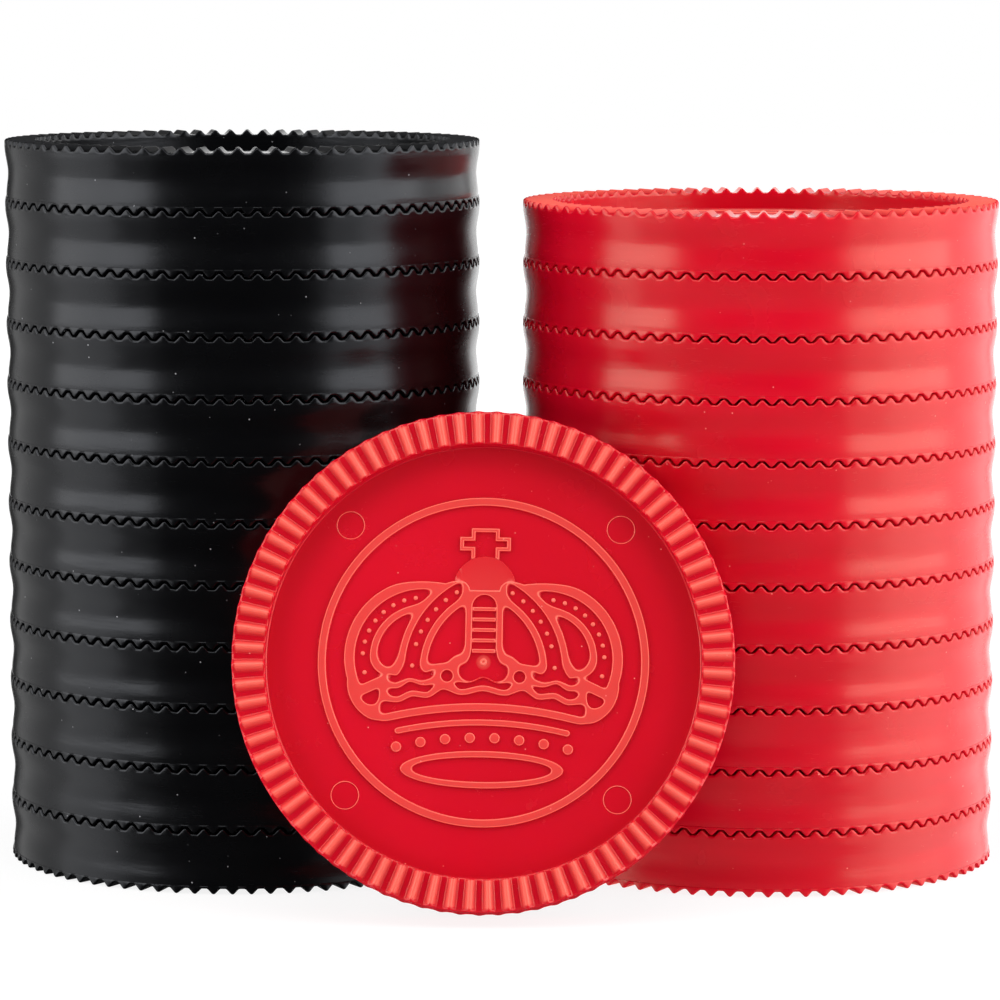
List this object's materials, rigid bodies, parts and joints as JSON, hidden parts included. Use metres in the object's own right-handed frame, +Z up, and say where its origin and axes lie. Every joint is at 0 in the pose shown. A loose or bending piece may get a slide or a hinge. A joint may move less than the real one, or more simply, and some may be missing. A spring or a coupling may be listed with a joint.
{
  "type": "interlocking checkers set",
  "caption": "Stacked interlocking checkers in black and red with a crowned piece leaning in front; ridged rims nest so that pieces stack without slipping.",
  "frame": {"origin": "on the table, under the middle of the whole set's box", "axes": "+Z up, +X from the black stack to the red stack, +Y away from the leaning piece"},
  "size_m": [0.1594, 0.101, 0.1156],
  "materials": {
    "black_plastic": "satin moulded plastic, self-coloured black",
    "red_plastic": "satin moulded plastic, self-coloured red"
  },
  "bodies": {
    "black_piece_01": {"black_piece_01": "black_plastic"},
    "black_piece_02": {"black_piece_02": "black_plastic"},
    "black_piece_03": {"black_piece_03": "black_plastic"},
    "black_piece_04": {"black_piece_04": "black_plastic"},
    "black_piece_05": {"black_piece_05": "black_plastic"},
    "black_piece_06": {"black_piece_06": "black_plastic"},
    "black_piece_07": {"black_piece_07": "black_plastic"},
    "black_piece_08": {"black_piece_08": "black_plastic"},
    "black_piece_09": {"black_piece_09": "black_plastic"},
    "black_piece_10": {"black_piece_10": "black_plastic"},
    "black_piece_11": {"black_piece_11": "black_plastic"},
    "black_piece_12": {"black_piece_12": "black_plastic"},
    "red_piece_01": {"red_piece_01": "red_plastic"},
    "red_piece_02": {"red_piece_02": "red_plastic"},
    "red_piece_03": {"red_piece_03": "red_plastic"},
    "red_piece_04": {"red_piece_04": "red_plastic"},
    "red_piece_05": {"red_piece_05": "red_plastic"},
    "red_piece_06": {"red_piece_06": "red_plastic"},
    "red_piece_07": {"red_piece_07": "red_plastic"},
    "red_piece_08": {"red_piece_08": "red_plastic"},
    "red_piece_09": {"red_piece_09": "red_plastic"},
    "red_piece_10": {"red_piece_10": "red_plastic"},
    "red_piece_11": {"red_piece_11": "red_plastic"},
    "red_front_piece": {"red_front_piece": "red_plastic"}
  },
  "joints": [
    {"name": "black_02_lift", "type": "slide", "parent": "black_piece_01", "child": "black_piece_02", "axis": [0, 0, 1], "range_m": [0, 0.02]},
    {"name": "black_03_lift", "type": "slide", "parent": "black_piece_02", "child": "black_piece_03", "axis": [0, 0, 1], "range_m": [0, 0.02]},
    {"name": "black_04_lift", "type": "slide", "parent": "black_piece_03", "child": "black_piece_04", "axis": [0, 0, 1], "range_m": [0, 0.02]},
    {"name": "black_05_lift", "type": "slide", "parent": "black_piece_04", "child": "black_piece_05", "axis": [0, 0, 1], "range_m": [0, 0.02]},
    {"name": "black_06_lift", "type": "slide", "parent": "black_piece_05", "child": "black_piece_06", "axis": [0, 0, 1], "range_m": [0, 0.02]},
    {"name": "black_07_lift", "type": "slide", "parent": "black_piece_06", "child": "black_piece_07", "axis": [0, 0, 1], "range_m": [0, 0.02]},
    {"name": "black_08_lift", "type": "slide", "parent": "black_piece_07", "child": "black_piece_08", "axis": [0, 0, 1], "range_m": [0, 0.02]},
    {"name": "black_09_lift", "type": "slide", "parent": "black_piece_08", "child": "black_piece_09", "axis": [0, 0, 1], "range_m": [0, 0.02]},
    {"name": "black_10_lift", "type": "slide", "parent": "black_piece_09", "child": "black_piece_10", "axis": [0, 0, 1], "range_m": [0, 0.02]},
    {"name": "black_11_lift", "type": "slide", "parent": "black_piece_10", "child": "black_piece_11", "axis": [0, 0, 1], "range_m": [0, 0.02]},
    {"name": "black_12_lift", "type": "slide", "parent": "black_piece_11", "child": "black_piece_12", "axis": [0, 0, 1], "range_m": [0, 0.02]},
    {"name": "red_01_lift", "type": "slide", "parent": "black_piece_01", "child": "red_piece_01", "axis": [0, 0, 1], "range_m": [0, 0.02]},
    {"name": "red_02_lift", "type": "slide", "parent": "red_piece_01", "child": "red_piece_02", "axis": [0, 0, 1], "range_m": [0, 0.02]},
    {"name": "red_03_lift", "type": "slide", "parent": "red_piece_02", "child": "red_piece_03", "axis": [0, 0, 1], "range_m": [0, 0.02]},
    {"name": "red_04_lift", "type": "slide", "parent": "red_piece_03", "child": "red_piece_04", "axis": [0, 0, 1], "range_m": [0, 0.02]},
    {"name": "red_05_lift", "type": "slide", "parent": "red_piece_04", "child": "red_piece_05", "axis": [0, 0, 1], "range_m": [0, 0.02]},
    {"name": "red_06_lift", "type": "slide", "parent": "red_piece_05", "child": "red_piece_06", "axis": [0, 0, 1], "range_m": [0, 0.02]},
    {"name": "red_07_lift", "type": "slide", "parent": "red_piece_06", "child": "red_piece_07", "axis": [0, 0, 1], "range_m": [0, 0.02]},
    {"name": "red_08_lift", "type": "slide", "parent": "red_piece_07", "child": "red_piece_08", "axis": [0, 0, 1], "range_m": [0, 0.02]},
    {"name": "red_09_lift", "type": "slide", "parent": "red_piece_08", "child": "red_piece_09", "axis": [0, 0, 1], "range_m": [0, 0.02]},
    {"name": "red_10_lift", "type": "slide", "parent": "red_piece_09", "child": "red_piece_10", "axis": [0, 0, 1], "range_m": [0, 0.02]},
    {"name": "red_11_lift", "type": "slide", "parent": "red_piece_10", "child": "red_piece_11", "axis": [0, 0, 1], "range_m": [0, 0.02]},
    {"name": "front_piece_lift", "type": "slide", "parent": "black_piece_01", "child": "red_front_piece", "axis": [0, -0.9659, 0.2588], "range_m": [0, 0.05]}
  ]
}
